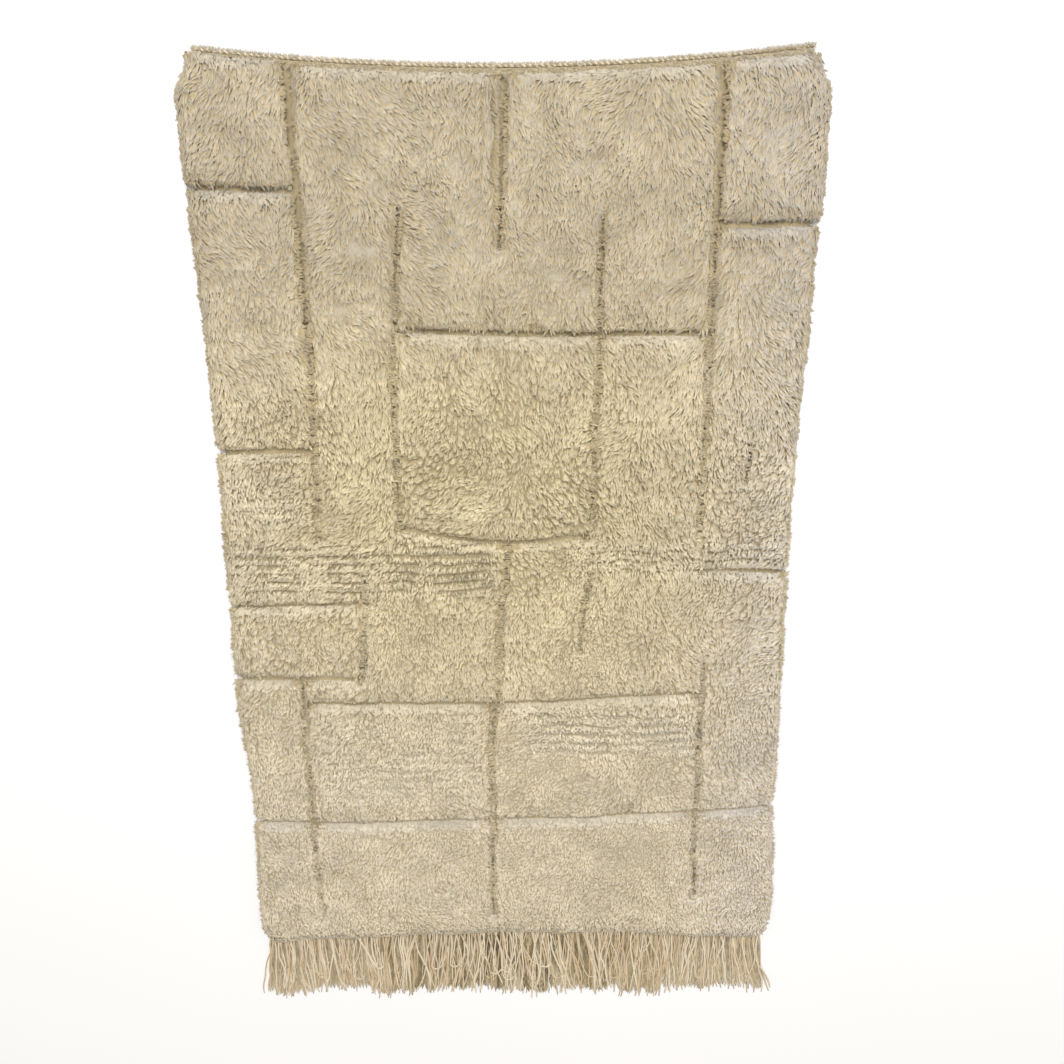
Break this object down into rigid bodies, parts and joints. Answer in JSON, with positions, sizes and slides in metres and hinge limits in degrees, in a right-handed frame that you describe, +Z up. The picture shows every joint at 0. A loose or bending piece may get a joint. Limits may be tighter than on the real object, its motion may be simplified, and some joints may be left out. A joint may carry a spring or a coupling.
{
  "type": "beni ourain rug",
  "caption": "Hand-knotted ivory wool pile rug laid flat, with carved channels around plain blocks, a corded end and a warp fringe.",
  "frame": {"origin": "on the floor under the middle of the rug's bounding box", "axes": "+Y along the rug to its corded end, with the fringe at -Y; +X to the rug's right side; +Z up through the pile"},
  "size_m": [1.0159, 1.7448, 0.0281],
  "materials": {
    "pile": "soft undyed ivory wool pile on a tan flat-woven ground",
    "fringe": "plied undyed warp yarn",
    "cord": "twined warp cord, fuzzy"
  },
  "bodies": {
    "root": {"rug_body": "pile", "warp_fringe": "fringe", "heading_cord": "cord"}
  },
  "joints": []
}
